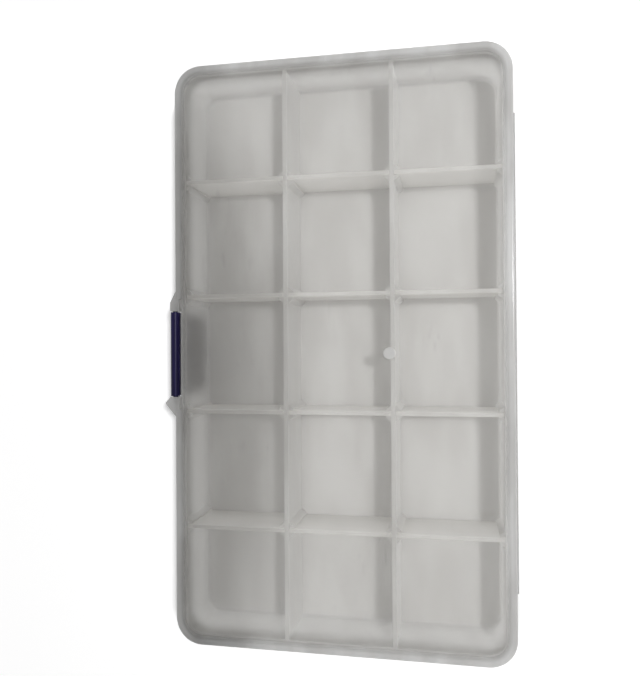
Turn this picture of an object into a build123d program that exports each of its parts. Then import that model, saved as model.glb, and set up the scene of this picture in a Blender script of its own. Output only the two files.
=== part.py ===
"""Small parts box: a tray of fifteen cells under one hinged lid, held by a snap latch.

Millimetres. X runs along the box, +Y points to the hinge side and +Z up.
The origin is the centre of the tray's underside.
"""

import os

from build123d import *

# Overall size of the closed box, over the lid
lid_length = 175.0
lid_width = 100.0
box_height = 22.0

# Lid
lid_corner_radius = 8.0
lid_top_thickness = 1.2
lid_wall = 1.2
lid_edge_radius = 0.6
seam_height = 14.0
seam_gap = 0.2

# Moulding nub on the lid
nub_radius = 1.75
nub_height = 0.6
nub_edge_radius = 0.25
nub_offset = 15.1

# Tray
rim_clearance = 0.4
rim_headroom = 0.6
tray_wall = 1.3
tray_floor = 1.4
tray_foot_radius = 1.0
floor_fillet = 1.0
shoulder_thickness = 1.4
shoulder_inset = 0.2
shoulder_edge_radius = 0.4

# How far a wall, rib or catch reaches into what it is moulded on
moulded_depth = 0.3

# Long walls, which make the three lanes
lane_count = 3
long_wall = 1.2

# Loose dividers, which cut each lane into five cells
dividers_per_lane = 4
divider_thickness = 1.2
divider_drop = 0.2
divider_end_clearance = 0.2
divider_face_clearance = 0.15
divider_edge_radius = 0.25
divider_foot_chamfer = 1.0

# Slot ribs that hold the dividers' ends
rib_depth = 1.5
rib_crest = 0.5
rib_width = 2.0
rib_drop = 0.8

# Latch: a barrel with two pins, a plate and a hook
latch_length = 25.6
barrel_radius = 1.4
pivot_reach = 0.6
pivot_drop = 1.75
pin_radius = 0.7
pin_length = 2.3
pin_clearance = 0.08
plate_thickness = 1.2
plate_corner_radius = 2.5
finger_reach = 0.9
finger_height = 2.6
finger_lip = 0.9
hook_height = 2.0
hook_nose = 0.8
hook_clearance = 0.3
nose_chamfer = 0.2

# Catch on the tray, which the latch's hook snaps under
catch_side_room = 2.3
catch_reach = 1.5
catch_foot = 4.7
catch_height = 1.9
catch_nose = 0.7

# Ears on the lid, which carry the latch's pins
ear_side_clearance = 0.25
ear_root = 2.2
ear_top_skin = 0.75
ear_foot_skin = 1.0
ear_front_skin = 0.3
ear_reach_left = 1.1
ear_reach_right = 2.75
ear_tip_left = 2.6
ear_tip_right = 1.85
ear_edge_radius = 0.5

# Notch in the lid, round the latch
notch_side_room = 3.95
notch_back_room = 1.3

# Pad on the tray's front wall, which fills the notch behind the barrel
barrel_clearance = 0.3
pad_side_clearance = 0.3

# Moulded hinge web along the back
web_end_room = 18.5
web_thickness = 0.4
web_fold_radius = 1.0
web_root = 0.2
web_end_taper = 1.6

# Heights that follow from the sizes above
lid_foot = seam_height + seam_gap
lid_ceiling = box_height - lid_top_thickness
wall_foot = tray_floor - moulded_depth
wall_top = lid_ceiling - rim_headroom
divider_top = wall_top - divider_drop
rib_top = wall_top - rib_drop

# The tray's walls stand inside the lid's walls
tray_length = lid_length - 2 * (lid_wall + rim_clearance)
tray_width = lid_width - 2 * (lid_wall + rim_clearance)
tray_corner_radius = lid_corner_radius - lid_wall - rim_clearance
inner_length = tray_length - 2 * tray_wall
inner_width = tray_width - 2 * tray_wall
inner_corner_radius = tray_corner_radius - tray_wall

# Lanes and divider places
lane_width = (inner_width - (lane_count - 1) * long_wall) / lane_count
lane_pitch = lane_width + long_wall
cell_pitch = lid_length / (dividers_per_lane + 1)
slot_half = divider_thickness / 2 + divider_face_clearance

# The hook lies below the catch and just clear of its nose
catch_length = latch_length - 2 * catch_side_room
catch_tip = -(tray_width / 2 + catch_reach)
hook_tip = catch_tip - hook_clearance
hook_top = catch_foot - hook_clearance
plate_foot = hook_top - hook_height

# The latch turns about a line along X in front of the lid
pivot_y = -(lid_width / 2 + pivot_reach)
pivot_z = box_height - pivot_drop
plate_front = pivot_y - barrel_radius
plate_back = plate_front + plate_thickness
finger_front = plate_front - finger_reach

# The notch leaves room for the barrel, and the ears stand beside the barrel
notch_half = latch_length / 2 + notch_side_room
notch_back = pivot_y + barrel_radius + notch_back_room
ear_start = latch_length / 2 + ear_side_clearance
pin_hole_radius = pin_radius + pin_clearance
pad_length = 2 * (ear_start - pad_side_clearance)
pad_face = pivot_y + barrel_radius + barrel_clearance

# The web folds about a line along X behind the lid
web_length = lid_length - 2 * web_end_room
fold_z = seam_height + seam_gap / 2
fold_y = lid_width / 2 + web_root

LANE_NAMES = ["front", "middle", "back"]


def lane_centre(lane):
    """The middle of a lane across the box, counted from the front."""
    return (lane - (lane_count - 1) / 2) * lane_pitch


def divider_place(number):
    """The middle of a divider along the box, counted from the left."""
    return (number - (dividers_per_lane - 1) / 2) * cell_pitch


def slot_rib(side_x, side_y):
    """Plan of one rib: square to the slot, sloping away from it. The sides are +1 or -1."""
    return [
        (side_x * slot_half, -side_y * moulded_depth),
        (side_x * slot_half, side_y * rib_depth),
        (side_x * (slot_half + rib_crest), side_y * rib_depth),
        (side_x * (slot_half + rib_width), -side_y * moulded_depth),
    ]


def make_base_tray():
    """Floor, outer walls with a shoulder, long walls, slot ribs, the pad and the catch."""
    with BuildPart() as base_tray:
        with BuildSketch():
            RectangleRounded(tray_length, tray_width, tray_corner_radius)
        extrude(amount=wall_top)
        fillet(base_tray.faces().sort_by(Axis.Z)[0].edges(), tray_foot_radius)
        with BuildSketch(Plane.XY.offset(tray_floor)):
            RectangleRounded(inner_length, inner_width, inner_corner_radius)
        extrude(amount=wall_top - tray_floor, mode=Mode.SUBTRACT)
        floor_face = base_tray.faces().filter_by(Plane.XY).sort_by(Axis.Z)[1]
        fillet(floor_face.edges(), floor_fillet)

        # Shoulder under the lid's edge, a ring that starts in the middle of the wall
        with BuildSketch(Plane.XY.offset(seam_height - shoulder_thickness)):
            RectangleRounded(
                lid_length - 2 * shoulder_inset,
                lid_width - 2 * shoulder_inset,
                lid_corner_radius - shoulder_inset,
            )
            RectangleRounded(
                tray_length - tray_wall,
                tray_width - tray_wall,
                tray_corner_radius - tray_wall / 2,
                mode=Mode.SUBTRACT,
            )
        extrude(amount=shoulder_thickness)
        under = base_tray.faces().filter_by(Plane.XY).group_by(Axis.Z)[2]
        fillet(under.edges().group_by(SortBy.LENGTH)[-1], shoulder_edge_radius)

        # Long walls
        with BuildSketch(Plane.XY.offset(wall_foot)):
            with GridLocations(0, lane_pitch, 1, lane_count - 1):
                Rectangle(inner_length + 2 * moulded_depth, long_wall)
        extrude(amount=wall_top - wall_foot)

        # Slot ribs on both sides of every lane, at every divider's ends
        with BuildSketch(Plane.XY.offset(wall_foot)):
            for lane in range(lane_count):
                for number in range(dividers_per_lane):
                    for side in (-1, 1):
                        lane_face = lane_centre(lane) + side * lane_width / 2
                        with Locations((divider_place(number), lane_face)):
                            Polygon(*slot_rib(1, -side), align=None)
                            Polygon(*slot_rib(-1, -side), align=None)
        extrude(amount=rib_top - wall_foot)

        # Pad behind the latch's barrel, from the shoulder up to the rim
        wall_face = -tray_width / 2
        with BuildSketch(Plane.XY.offset(seam_height - moulded_depth)):
            with Locations((0, pad_face)):
                pad_depth = wall_face + moulded_depth - pad_face
                Rectangle(pad_length, pad_depth, align=(Align.CENTER, Align.MIN))
        extrude(amount=wall_top - seam_height + moulded_depth)

        # Catch for the latch's hook
        with BuildSketch(Plane.YZ.offset(-catch_length / 2)):
            Polygon(
                (wall_face + moulded_depth, catch_foot),
                (catch_tip, catch_foot),
                (catch_tip, catch_foot + catch_nose),
                (wall_face, catch_foot + catch_height),
                (wall_face + moulded_depth, catch_foot + catch_height),
                align=None,
            )
            chamfer(vertices().group_by(Axis.X)[0], nose_chamfer)
        extrude(amount=catch_length)
    base_tray.part.label = "base_tray"
    export_step(base_tray.part, "parts/base_tray.step")


def ear_plan(side, tip, reach):
    """Plan of one ear: its face beside the latch, its tip and its root on the lid's wall."""
    wall_out = -lid_width / 2
    wall_in = wall_out + lid_wall
    root_end = notch_half + ear_root
    return [
        (side * ear_start, wall_in),
        (side * ear_start, pivot_y - pin_hole_radius - ear_front_skin),
        (side * (ear_start + tip), pivot_y - reach),
        (side * root_end, wall_out),
        (side * root_end, wall_in),
    ]


def make_lid():
    """Shallow lid with a notch and two ears for the latch, and a moulding nub on top."""
    with BuildPart() as lid:
        with BuildSketch(Plane.XY.offset(lid_foot)):
            RectangleRounded(lid_length, lid_width, lid_corner_radius)
        extrude(amount=box_height - lid_foot)
        fillet(lid.faces().sort_by(Axis.Z)[-1].edges(), lid_edge_radius)
        with BuildSketch(Plane.XY.offset(lid_foot)):
            RectangleRounded(
                lid_length - 2 * lid_wall,
                lid_width - 2 * lid_wall,
                lid_corner_radius - lid_wall,
            )
        extrude(amount=lid_ceiling - lid_foot, mode=Mode.SUBTRACT)

        # Notch for the latch, open to the front
        with BuildSketch(Plane.XY.offset(lid_foot)):
            with Locations((0, notch_back)):
                Rectangle(2 * notch_half, lid_width, align=(Align.CENTER, Align.MAX))
        extrude(amount=box_height - lid_foot, mode=Mode.SUBTRACT)

        # Ears, with their outer tips rounded
        ear_foot = pivot_z - pin_hole_radius - ear_foot_skin
        ear_top = pivot_z + pin_hole_radius + ear_top_skin
        with BuildSketch(Plane.XY.offset(ear_foot)):
            Polygon(*ear_plan(-1, ear_tip_left, ear_reach_left), align=None)
            Polygon(*ear_plan(1, ear_tip_right, ear_reach_right), align=None)
        extrude(amount=ear_top - ear_foot)
        upright = lid.edges().filter_by(Axis.Z)
        corners = upright.filter_by_position(Axis.Y, -lid_width, pivot_y - pin_hole_radius)
        tips = corners.filter_by(lambda edge: abs(edge.center().X) > ear_start + ear_edge_radius)
        fillet(tips, ear_edge_radius)

        # A blind hole in each ear for the latch's pin
        for side in (-1, 1):
            with BuildSketch(Plane.YZ.offset(side * ear_start)):
                with Locations((pivot_y, pivot_z)):
                    Circle(pin_hole_radius)
            extrude(amount=side * pin_length, mode=Mode.SUBTRACT)

        # Moulding nub
        with BuildSketch(Plane.XY.offset(lid_ceiling)):
            with Locations((0, nub_offset)):
                Circle(nub_radius)
        extrude(amount=lid_top_thickness + nub_height)
        fillet(lid.faces().sort_by(Axis.Z)[-1].edges(), nub_edge_radius)
    lid.part.label = "lid"
    export_step(lid.part, "parts/lid.step")


def make_latch():
    """One moulding: the barrel between the ears, its pins, the plate and the hook."""
    with BuildPart() as latch:
        with BuildSketch(Plane.YZ.offset(-latch_length / 2)):
            # Hook, with a blunt nose towards the box
            Polygon(
                (plate_front, plate_foot),
                (plate_back, plate_foot),
                (hook_tip, hook_top - hook_nose),
                (hook_tip, hook_top),
                (plate_front, hook_top),
                align=None,
            )
            chamfer(vertices().group_by(Axis.X)[-1], nose_chamfer)

            # Plate, with a lip for a fingernail along its foot
            Polygon(
                (plate_front, pivot_z),
                (plate_front, plate_foot + finger_height),
                (finger_front, plate_foot + finger_lip),
                (finger_front, plate_foot),
                (plate_back, plate_foot),
                (plate_back, pivot_z),
                align=None,
            )
            with Locations((pivot_y, pivot_z)):
                Circle(barrel_radius)
        extrude(amount=latch_length)

        # Rounded lower corners
        for side in (-1, 1):
            end = side * latch_length / 2
            with BuildSketch(Plane.XZ):
                with BuildLine():
                    foot = (end, plate_foot)
                    rise = (end, plate_foot + plate_corner_radius)
                    start = (end - side * plate_corner_radius, plate_foot)
                    Line(start, foot)
                    Line(foot, rise)
                    RadiusArc(rise, start, side * plate_corner_radius)
                make_face()
            extrude(amount=lid_width, mode=Mode.SUBTRACT)

        # Pins
        for side in (-1, 1):
            with BuildSketch(Plane.YZ.offset(side * latch_length / 2)):
                with Locations((pivot_y, pivot_z)):
                    Circle(pin_radius)
            extrude(amount=side * pin_length)
    latch.part.label = "latch"
    export_step(latch.part, "parts/latch.step")


def make_living_hinge():
    """Thin folded web from the tray's shoulder round to the lid's wall."""
    shoulder_face = lid_width / 2 - shoulder_inset
    lid_face = lid_width / 2
    inner_radius = web_fold_radius - web_thickness
    with BuildPart() as living_hinge:
        with BuildSketch(Plane.YZ.offset(-web_length / 2)):
            with BuildLine():
                low_out = (fold_y, fold_z - web_fold_radius)
                low_in = (fold_y, fold_z - inner_radius)
                high_in = (fold_y, fold_z + inner_radius)
                high_out = (fold_y, fold_z + web_fold_radius)
                Polyline(
                    low_out,
                    (shoulder_face, fold_z - web_fold_radius),
                    (shoulder_face, fold_z - inner_radius),
                    low_in,
                )
                ThreePointArc(low_in, (fold_y + inner_radius, fold_z), high_in)
                Polyline(
                    high_in,
                    (lid_face, fold_z + inner_radius),
                    (lid_face, fold_z + web_fold_radius),
                    high_out,
                )
                ThreePointArc(high_out, (fold_y + web_fold_radius, fold_z), low_out)
            make_face()
        extrude(amount=web_length)

        # Ends cut slantwise
        for side in (-1, 1):
            with BuildSketch(Plane.XY.offset(fold_z - web_fold_radius)):
                Polygon(
                    (side * web_length / 2, lid_face),
                    (side * web_length / 2, fold_y + web_fold_radius),
                    (side * (web_length / 2 - web_end_taper), fold_y + web_fold_radius),
                    align=None,
                )
            extrude(amount=2 * web_fold_radius, mode=Mode.SUBTRACT)
    living_hinge.part.label = "living_hinge"
    export_step(living_hinge.part, "parts/living_hinge.step")


def make_divider(lane, number):
    """One loose divider, standing on the tray's floor between its slot ribs."""
    name = f"divider_{LANE_NAMES[lane]}_{number + 1}"
    width = lane_width - 2 * divider_end_clearance
    with BuildPart() as divider:
        with BuildSketch(Plane.YZ.offset(divider_place(number) - divider_thickness / 2)):
            with Locations((lane_centre(lane), tray_floor)):
                Rectangle(width, divider_top - tray_floor, align=(Align.CENTER, Align.MIN))
            chamfer(vertices().group_by(Axis.Y)[0], divider_foot_chamfer)
        extrude(amount=divider_thickness)
        top_edges = divider.faces().sort_by(Axis.Z)[-1].edges().filter_by(Axis.Y)
        fillet(top_edges, divider_edge_radius)
    divider.part.label = name
    export_step(divider.part, f"parts/{name}.step")


os.makedirs("parts", exist_ok=True)
make_base_tray()
make_lid()
make_latch()
make_living_hinge()
for lane_number in range(lane_count):
    for divider_number in range(dividers_per_lane):
        make_divider(lane_number, divider_number)
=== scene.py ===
"""Dresses the small parts box: milky moulded plastic, a navy latch and a folded hinge web.

Metres. X runs along the box, +Y points to the hinge side and +Z up, as in the model.
"""

import math

import bmesh
import bpy
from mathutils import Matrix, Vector


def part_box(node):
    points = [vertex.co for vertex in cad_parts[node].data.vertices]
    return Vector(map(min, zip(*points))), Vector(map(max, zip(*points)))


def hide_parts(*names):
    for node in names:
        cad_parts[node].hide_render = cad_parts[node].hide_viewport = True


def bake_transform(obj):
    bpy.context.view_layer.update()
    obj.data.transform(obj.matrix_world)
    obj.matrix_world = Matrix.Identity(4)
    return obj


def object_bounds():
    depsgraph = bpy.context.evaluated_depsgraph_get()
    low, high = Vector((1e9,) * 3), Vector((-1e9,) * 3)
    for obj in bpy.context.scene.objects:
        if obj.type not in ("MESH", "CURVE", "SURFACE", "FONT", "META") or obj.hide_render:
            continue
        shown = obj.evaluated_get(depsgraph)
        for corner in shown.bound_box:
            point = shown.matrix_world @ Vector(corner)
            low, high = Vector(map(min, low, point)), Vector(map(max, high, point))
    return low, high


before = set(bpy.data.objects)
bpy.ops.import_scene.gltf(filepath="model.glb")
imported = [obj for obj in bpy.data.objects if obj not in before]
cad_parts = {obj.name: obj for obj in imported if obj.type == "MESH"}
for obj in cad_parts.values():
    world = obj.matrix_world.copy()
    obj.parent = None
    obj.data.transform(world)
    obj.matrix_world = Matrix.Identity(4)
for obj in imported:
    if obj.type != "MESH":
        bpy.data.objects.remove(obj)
cad_low, cad_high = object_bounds()

MM = 0.001
lid_half_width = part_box("lid")[1].y

# Camera, fitted to the box's edges, with turns in degrees and the lens in millimetres
CAMERA_PLACE = (-2.34 * MM, 32.97 * MM, 219.63 * MM)
CAMERA_TURN = (0.557, 10.91, 89.63)
CAMERA_LENS = 36.74
CAMERA_CLIP = 0.01

# Studio light, with slopes in metres across for each metre up, and powers in watts
KEY_AIM = (0.0, 0.0, 0.015)
KEY_DISTANCE = 0.8
KEY_SLOPE = (-0.117, 0.391)
KEY_WIDTH = 0.055
KEY_POWER = 4.35
SOFTBOX_HEIGHT = 0.62
SOFTBOX_SIZE = (0.76, 0.27)
SOFTBOX_POWER = 0.25

# Sky: its strength at the horizon and overhead, and how far up the change reaches
SKY_SIDE = 1.3
SKY_TOP = 0.03
SKY_REACH = 0.6

# Flag that shades the box's front: its shadow's middle and half sizes on the lid, the share of
# them that is fully dense, and the stretch over the front rim where it thins to a lesser share
FLAG_HEIGHT = 0.1
FLAG_MIDDLE = (15 * MM, -120 * MM)
FLAG_HALF = (170 * MM, 117 * MM)
FLAG_CORE = 0.8
FLAG_LIP = (-47 * MM, -39 * MM)
FLAG_LIP_SHARE = 0.3
FLAG_SIDES = 64

# Floor, whose paper is lifted to white outside the box and further out; a low lift under the box
# paints shade there
FLOOR_SIZE = 4.0
FLOOR_DROP = 0.1 * MM
FLOOR_TONE = 0.88
FLOOR_LIFT_UNDER_PAINTED_SHADE = 0.02
FLOOR_EDGE = 5 * MM
FLOOR_LIFT = 0.4
FLOOR_NEAR = 0.06
FLOOR_FAR = 0.5

# Heights and widths that the finishes follow
WALL_FROM = 1.6 * MM
WALL_BLEND = 0.6 * MM
RIM_HEIGHT = 20.1 * MM
LID_CORNER = 8 * MM
LID_RIM = 3.4 * MM
LID_WALL = 1.2 * MM
LID_TOP = 22 * MM
NUB_BLEND = 0.15 * MM

# Share of what lies behind that each finish hides. A crest is the top edge of a wall, and facing
# is what looking along the surface adds.
TRAY_HIDES = 0.34
TRAY_WALL_ADDS = 0.12
TRAY_CREST_ADDS = 0.15
DIVIDER_HIDES = 0.26
DIVIDER_CREST_ADDS = 0.34
FACING_ADDS = 0.08
LID_HIDES = 0.05
LID_RIM_ADDS = 0.69
LID_FACING_ADDS = 0.3
LID_RIM_FACING_DROPS = 0.2
NUB_ADDS = 0.75
SCRATCHES_ADD = 0.05
WEB_HIDES = 0.42
WEB_FACING_ADDS = 0.15

# Moulded plastic: slightly warm, with streaks along the box and fine specks
PLASTIC_IOR = 1.49
WARMTH = (1.0, 0.99, 0.972)
STREAK_SIZE = 9 * MM
STREAK_STRETCH = (0.3, 1, 1)
STREAK_EDGES = (0.35, 0.65)
STREAK_DARK = 0.86
STREAK_LIGHT = (1.08, 1.08, 1.07)
SPECK_SIZE = 1.1 * MM
SPECK_ROUGHNESS = 0.06
FACING_BLEND = 0.3

# Scratches on the lid, which come in patches
SCRATCH_SIZE = 1.6 * MM
SCRATCH_STRETCH = (0.25, 1, 1)
SCRATCH_EDGES = (0.64, 0.7)
PATCH_SIZE = 16 * MM
PATCH_EDGES = (0.56, 0.64)

# Navy plastic: faint streaks along the latch and dust
NAVY_DARK = (0.008, 0.005, 0.045)
NAVY_LIGHT = (0.02, 0.014, 0.1)
NAVY_ROUGHNESS = 0.3
NAVY_STREAK_SIZE = 1.2 * MM
NAVY_STREAK_STRETCH = (0.06, 1, 1)
NAVY_STREAK_EDGES = (0.4, 0.72)
NAVY_STREAK_ROUGHNESS = 0.15
DUST_SIZE = 0.5 * MM
DUST_ROUGHNESS = 0.1
GRAIN_DEPTH = 0.03 * MM

# Hinge web
WEB_THICKNESS = 0.38 * MM
WEB_STEPS = 18


class Value:
    """One socket of a finish. Sums, differences and products of values add Math nodes."""

    def __init__(self, finish, socket):
        self.finish = finish
        self.socket = socket

    def __add__(self, other):
        return self.finish.maths("ADD", self, other)

    def __radd__(self, other):
        return self.finish.maths("ADD", other, self)

    def __sub__(self, other):
        return self.finish.maths("SUBTRACT", self, other)

    def __rsub__(self, other):
        return self.finish.maths("SUBTRACT", other, self)

    def __mul__(self, other):
        return self.finish.maths("MULTIPLY", self, other)

    def __rmul__(self, other):
        return self.finish.maths("MULTIPLY", other, self)


class Finish:
    """A material, or the sky, under construction, with one method that adds any node."""

    def __init__(self, name, made_in=bpy.data.materials, ends_in="OutputMaterial"):
        self.made = made_in.new(name)
        self.made.use_nodes = True
        self.tree = self.made.node_tree
        self.tree.nodes.clear()
        self.ends_in = ends_in

    def node(self, kind, settings=None, output=0, **inputs):
        """Adds a node of that kind. Inputs are named by their socket, with _ for a space."""
        made = self.tree.nodes.new("ShaderNode" + kind)
        for name, value in (settings or {}).items():
            setattr(made, name, value)
        for name, value in inputs.items():
            self.feed(self.socket_of(made, name), value)
        return Value(self, made.outputs[output])

    def socket_of(self, made, name):
        """An input by its number, as in in_0, or by its name."""
        if name.startswith("in_"):
            return made.inputs[int(name[3:])]
        return made.inputs[name.replace("_", " ")]

    def feed(self, socket, value):
        """Links a value to a socket, or sets the socket to a plain number or colour."""
        if isinstance(value, Value):
            self.tree.links.new(value.socket, socket)
        else:
            socket.default_value = value

    def maths(self, operation, first, second=0.0):
        return self.node("Math", {"operation": operation}, in_0=first, in_1=second)

    def length(self, across):
        """The length of a slanted line from its two distances along X and Y."""
        return self.maths("SQRT", across[0] * across[0] + across[1] * across[1])

    def axis(self, name):
        """One of the Object coordinates, in metres."""
        spot = self.node("TexCoord", output="Object")
        return self.node("SeparateXYZ", output=name, Vector=spot)

    def beyond(self, half_length, half_width):
        """How far a point lies outside a rectangle about the middle, in metres."""
        past = [
            self.maths("MAXIMUM", self.maths("ABSOLUTE", self.axis(name)) - half, 0.0)
            for name, half in (("X", half_length), ("Y", half_width))
        ]
        return self.length(past)

    def noise(self, size, detail, stretch=(1, 1, 1)):
        """Soft random patches of about that size in metres, between 0 and 1."""
        spot = self.node("TexCoord", output="Object")
        stretched = self.node("Mapping", Vector=spot, Scale=stretch)
        return self.node(
            "TexNoise", Vector=stretched, Scale=1 / size, Detail=detail, Roughness=0.55
        )

    def ramp(self, value, low, high, start=0.0, end=1.0):
        """Spreads the stretch from low to high of a value over start to end."""
        settings = {"interpolation_type": "SMOOTHSTEP", "clamp": True}
        return self.node(
            "MapRange", settings, Value=value,
            From_Min=low, From_Max=high, To_Min=start, To_Max=end,
        )

    def tint(self, share, first, second):
        """A colour between two others."""
        settings = {"data_type": "RGBA"}
        return self.node("Mix", settings, output=2, in_0=share, in_6=first, in_7=second)

    def facing(self):
        """0 where the surface is seen square on, rising to 1 where it is seen along."""
        return self.node("LayerWeight", output="Facing", Blend=FACING_BLEND)

    def seen_directly(self):
        """1 for rays from the camera, also by gloss and through clear plastic, and 0 for light."""
        camera_ray, glossy_ray, clear_ray = (
            self.node("LightPath", output=f"Is {kind} Ray")
            for kind in ("Camera", "Glossy", "Transmission")
        )
        return self.maths("MAXIMUM", camera_ray, self.maths("MAXIMUM", glossy_ray, clear_ray))

    def done(self, shader):
        """Ends the finish in that shader and returns its material, or the sky."""
        output = self.tree.nodes.new("ShaderNode" + self.ends_in)
        self.tree.links.new(shader.socket, output.inputs["Surface"])
        return self.made


def colour(levels, share=1.0):
    """An opaque colour from its three levels, dimmed to a share."""
    return tuple(level * share for level in levels) + (1,)


def moulded(finish, hidden, shade, gloss, glow, sheen=0.0, coat=0.5):
    """Ends a milky finish: a surface that hides a share of what lies behind it and glows a little.

    The glow is the light that the plastic passes on softly from its far side.
    """
    streaks = finish.noise(STREAK_SIZE, detail=3.0, stretch=STREAK_STRETCH)
    specks = finish.noise(SPECK_SIZE, detail=2.0)
    tone = finish.tint(
        finish.ramp(streaks, *STREAK_EDGES),
        colour(WARMTH, shade * STREAK_DARK), colour(STREAK_LIGHT, shade),
    )
    surface = finish.node(
        "BsdfPrincipled", Base_Color=tone, Roughness=gloss + (specks - 0.5) * SPECK_ROUGHNESS,
        IOR=PLASTIC_IOR, Specular_IOR_Level=0.6, Coat_Weight=coat, Coat_Roughness=0.12,
        Sheen_Weight=sheen, Sheen_Roughness=0.5, Alpha=hidden,
    )
    through = finish.node("BsdfTranslucent", Color=colour(WARMTH, shade))
    return finish.done(finish.node("MixShader", in_0=glow, in_1=surface, in_2=through))


def tray_plastic():
    """Milky moulding: a thin floor, and walls that look denser because they are seen along."""
    finish = Finish("tray_plastic")
    height = finish.axis("Z")
    wall = finish.ramp(height, WALL_FROM, WALL_FROM + WALL_BLEND)
    crest = finish.ramp(height, RIM_HEIGHT - WALL_BLEND, RIM_HEIGHT)
    hidden = (
        TRAY_HIDES + wall * TRAY_WALL_ADDS + crest * TRAY_CREST_ADDS
        + finish.facing() * FACING_ADDS
    )
    return moulded(finish, hidden, shade=0.84, gloss=0.32, glow=0.35, sheen=1.0)


def divider_plastic():
    """The milky moulding on the loose dividers, toned lighter than the tray's as painted light on
    their faces.
    """
    finish = Finish("divider_plastic")
    crest = finish.ramp(finish.axis("Z"), RIM_HEIGHT - WALL_BLEND, RIM_HEIGHT)
    hidden = DIVIDER_HIDES + crest * DIVIDER_CREST_ADDS + finish.facing() * FACING_ADDS
    # The lighter shade is painted light on the dividers' faces
    return moulded(finish, hidden, shade=0.95, gloss=0.34, glow=0.5, sheen=1.0)


def past_lid_middle(finish):
    """How far out a point lies on the lid's rim and corners, up to LID_CORNER at its outer edge."""
    return finish.beyond(cad_high[0] - LID_CORNER, lid_half_width - LID_CORNER)


def lid_plastic():
    """Nearly clear on top, and dense along the rim and the ears, which are seen along their walls."""
    finish = Finish("lid_plastic")
    rim = finish.ramp(past_lid_middle(finish), LID_CORNER - LID_RIM, LID_CORNER - LID_WALL)
    nub = finish.ramp(finish.axis("Z"), LID_TOP, LID_TOP + NUB_BLEND)
    scratches = finish.ramp(finish.noise(SCRATCH_SIZE, 2.0, SCRATCH_STRETCH), *SCRATCH_EDGES)
    patches = finish.ramp(finish.noise(PATCH_SIZE, detail=1.0), *PATCH_EDGES)
    hidden = (
        LID_HIDES + rim * LID_RIM_ADDS + nub * NUB_ADDS + scratches * patches * SCRATCHES_ADD
        + finish.facing() * (LID_FACING_ADDS - rim * LID_RIM_FACING_DROPS)
    )
    return moulded(finish, hidden, shade=0.7, gloss=0.3, glow=0.08, coat=0.2)


def web_plastic():
    """The hinge web, thin and toned darker than the walls as a painted shade."""
    finish = Finish("web_plastic")
    hidden = WEB_HIDES + finish.facing() * WEB_FACING_ADDS
    # The dark shade is painted shade on the web
    return moulded(finish, hidden, shade=0.45, gloss=0.3, glow=0.15)


def navy_plastic():
    """Opaque navy moulding with faint lengthwise streaks."""
    finish = Finish("navy_plastic")
    streaks = finish.noise(NAVY_STREAK_SIZE, detail=3.0, stretch=NAVY_STREAK_STRETCH)
    dust = finish.noise(DUST_SIZE, detail=2.0)
    share = finish.ramp(streaks, *NAVY_STREAK_EDGES)
    rough = (
        NAVY_ROUGHNESS + (streaks - 0.5) * NAVY_STREAK_ROUGHNESS + (dust - 0.5) * DUST_ROUGHNESS
    )
    grain = finish.node("Bump", Height=dust * 0.5 + streaks, Strength=0.3, Distance=GRAIN_DEPTH)
    shader = finish.node(
        "BsdfPrincipled", Base_Color=finish.tint(share, colour(NAVY_DARK), colour(NAVY_LIGHT)),
        Roughness=rough, IOR=1.5, Specular_IOR_Level=0.15, Normal=grain,
    )
    return finish.done(shader)


def floor_paper():
    """Pale paper that shows white to the camera outside the box, with a painted shade under it, and
    keeps the box's shadow.
    """
    finish = Finish("floor_paper")
    outward = past_lid_middle(finish)
    # Painted shade under the box: the lift stays low beneath it and rises past its edge
    lift_past_painted_shade = finish.ramp(outward, LID_CORNER, LID_CORNER + FLOOR_EDGE, FLOOR_LIFT_UNDER_PAINTED_SHADE, FLOOR_LIFT)
    far = finish.ramp(outward, FLOOR_NEAR, FLOOR_FAR, 0.0, 1 - FLOOR_LIFT)
    paper = finish.node("BsdfDiffuse", Color=colour((1, 1, 1), FLOOR_TONE))
    white = finish.node("Emission", Color=colour((1, 1, 1)))
    lift = finish.node("MixShader", in_0=finish.seen_directly() * (lift_past_painted_shade + far), in_2=white)
    return finish.done(finish.node("AddShader", in_0=paper, in_1=lift))


def add_piece(name, board):
    """Turns a bmesh into an object at the origin."""
    mesh = bpy.data.meshes.new(name)
    board.to_mesh(mesh)
    board.free()
    piece = bpy.data.objects.new(name, mesh)
    bpy.context.scene.collection.objects.link(piece)
    return piece


def make_floor():
    """A plain square floor just under the box."""
    board = bmesh.new()
    bmesh.ops.create_grid(board, x_segments=1, y_segments=1, size=FLOOR_SIZE / 2)
    bmesh.ops.translate(board, verts=board.verts, vec=(0, 0, -FLOOR_DROP))
    floor = add_piece("floor", board)
    floor.data.materials.append(floor_paper())
    return floor


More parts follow.
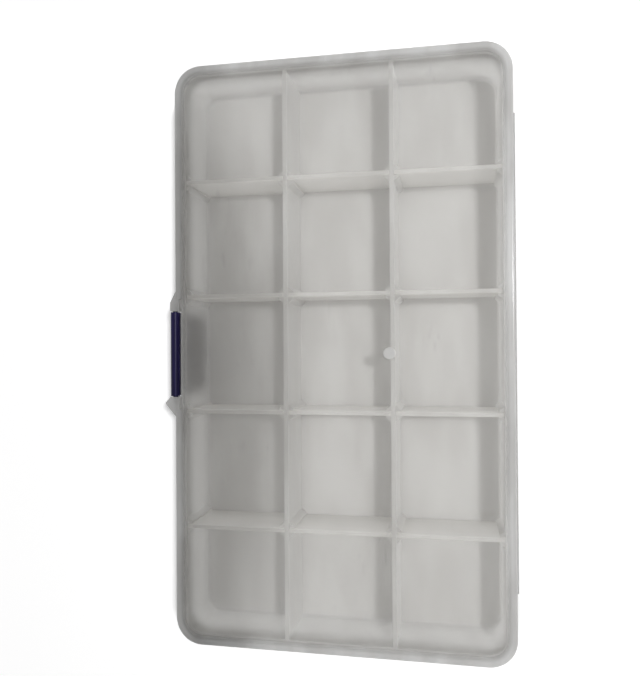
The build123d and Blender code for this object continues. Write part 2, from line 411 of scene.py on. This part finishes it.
def make_hinge_web(plastic):
    """The thin web along the back, folded from the tray's shoulder round to the lid's wall."""
    low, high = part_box("living_hinge")
    shoulder_face = low.y
    fold_height = (low.z + high.z) / 2
    fold_radius = (high.z - low.z - WEB_THICKNESS) / 2
    fold_line = high.y - WEB_THICKNESS / 2 - fold_radius
    board = bmesh.new()
    start = [
        board.verts.new((x, fold_line, fold_height - fold_radius)) for x in (low.x, high.x)
    ]
    edge = board.edges.new(start)
    spun = bmesh.ops.spin(
        board, geom=[*start, edge], cent=(0, fold_line, fold_height), axis=(1, 0, 0),
        angle=math.pi, steps=WEB_STEPS,
    )
    last = [e for e in spun["geom_last"] if isinstance(e, bmesh.types.BMEdge)]
    for edges in ([edge], last):
        out = bmesh.ops.extrude_edge_only(board, edges=edges)["geom"]
        ends = [v for v in out if isinstance(v, bmesh.types.BMVert)]
        for vert in ends:
            vert.co.y = shoulder_face
    bmesh.ops.recalc_face_normals(board, faces=board.faces)
    bmesh.ops.solidify(board, geom=board.faces, thickness=WEB_THICKNESS)
    web = add_piece("hinge_web", board)
    web.data.materials.append(plastic)
    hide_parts("living_hinge")
    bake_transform(web)
    for face in web.data.polygons:
        face.use_smooth = True
    return web


def dress(node, finish):
    """Gives a carried-over piece its finish."""
    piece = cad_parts[node]
    if not piece.material_slots:
        piece.data.materials.append(finish)
    for slot in piece.material_slots:
        slot.material = finish


def flag_gauze(middle):
    """Black gauze round a middle, clear at its edge, and thinner over the lid's front rim."""
    finish = Finish("flag_gauze")
    across = [
        (finish.axis(name) - place) * (1 / half)
        for name, place, half in zip("XY", middle, FLAG_HALF)
    ]
    body = finish.ramp(finish.length(across), FLAG_CORE, 1.0, 1.0, 0.0)
    lip_from, lip_to = (edge + middle[1] - FLAG_MIDDLE[1] for edge in FLAG_LIP)
    lip = finish.ramp(finish.axis("Y"), lip_from, lip_to, FLAG_LIP_SHARE, 1.0)
    clear = finish.node("BsdfTransparent", Color=colour((1, 1, 1)))
    cloth = finish.node("BsdfDiffuse", Color=colour((0, 0, 0)))
    return finish.done(finish.node("MixShader", in_0=body * lip, in_1=clear, in_2=cloth))


def make_flag():
    """A rounded flag over the front edge, which only the lamps' shadows show."""
    lid_top = cad_high[2]
    middle = [FLAG_MIDDLE[i] + KEY_SLOPE[i] * (FLAG_HEIGHT - lid_top) for i in (0, 1)]
    board = bmesh.new()
    bmesh.ops.create_circle(board, cap_ends=True, segments=FLAG_SIDES, radius=1)
    bmesh.ops.scale(board, verts=board.verts, vec=(*FLAG_HALF, 1))
    bmesh.ops.translate(board, verts=board.verts, vec=(*middle, FLAG_HEIGHT))
    flag = add_piece("flag", board)
    for kind in ("camera", "diffuse", "glossy", "transmission", "volume_scatter"):
        setattr(flag, "visible_" + kind, False)
    flag.data.materials.append(flag_gauze(middle))
    return flag


def gather(name, pieces):
    """A collection that says what a light reaches or what blocks it."""
    group = bpy.data.collections.new(name)
    for piece in pieces:
        group.objects.link(piece)
    return group


def add_area_light(name, place, aim, size, power, lit, blockers):
    """A flat soft light that faces its aim."""
    lamp = bpy.data.lights.new(name, "AREA")
    lamp.shape = "RECTANGLE"
    lamp.size, lamp.size_y = size
    lamp.energy = power
    stand = bpy.data.objects.new(name, lamp)
    bpy.context.scene.collection.objects.link(stand)
    stand.location = place
    stand.rotation_euler = (Vector(aim) - Vector(place)).to_track_quat("-Z", "Y").to_euler()
    stand.light_linking.receiver_collection = lit
    stand.light_linking.blocker_collection = blockers
    return stand


def make_lights(box, floor):
    """A small key light from the hinge side and a softbox overhead, each in two copies.

    One copy lights the box past the flag and the other keeps the floor evenly white.
    """
    flag = make_flag()
    way = Vector((*KEY_SLOPE, 1)).normalized()
    key_place = Vector(KEY_AIM) + way * KEY_DISTANCE
    key_size = (KEY_WIDTH, KEY_WIDTH)
    above = (0, 0, SOFTBOX_HEIGHT)
    for name, lit, blockers in (("box", box, [*box, flag]), ("floor", [floor], box)):
        lit = gather(name + "_lit", lit)
        blockers = gather(name + "_blockers", blockers)
        add_area_light(name + "_key", key_place, KEY_AIM, key_size, KEY_POWER, lit, blockers)
        softbox = add_area_light(
            name + "_softbox", above, (0, 0, 0), SOFTBOX_SIZE, SOFTBOX_POWER, lit, blockers
        )
        softbox.visible_glossy = False


def make_sky():
    """A soft sky that is brighter to its sides, and white where the camera or gloss shows it."""
    sky = Finish("sky", bpy.data.worlds, "OutputWorld")
    height = sky.node("SeparateXYZ", output="Z", Vector=sky.node("TexCoord", output="Generated"))
    soft = sky.node("Background", Strength=sky.ramp(height, 0.0, SKY_REACH, SKY_SIDE, SKY_TOP))
    white = sky.node("Background", Color=colour((1, 1, 1)))
    shown = sky.node("MixShader", in_0=sky.seen_directly(), in_1=soft, in_2=white)
    bpy.context.scene.world = sky.done(shown)


def make_camera():
    """The photograph's viewing angle, nearly straight down."""
    lens = bpy.data.cameras.new("camera")
    lens.lens = CAMERA_LENS
    lens.clip_start = CAMERA_CLIP
    stand = bpy.data.objects.new("camera", lens)
    bpy.context.scene.collection.objects.link(stand)
    stand.location = CAMERA_PLACE
    stand.rotation_euler = [math.radians(turn) for turn in CAMERA_TURN]
    bpy.context.scene.camera = stand


tray_finish = tray_plastic()
divider_finish = divider_plastic()

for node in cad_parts:
    if node.startswith("divider"):
        dress(node, divider_finish)
dress("base_tray", tray_finish)
dress("lid", lid_plastic())
dress("latch", navy_plastic())
dress("living_hinge", tray_finish)
web = make_hinge_web(web_plastic())
make_lights([*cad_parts.values(), web], make_floor())
make_sky()
make_camera()

scene = bpy.context.scene
scene.view_settings.view_transform = "Standard"
scene.cycles.transparent_max_bounces = 40
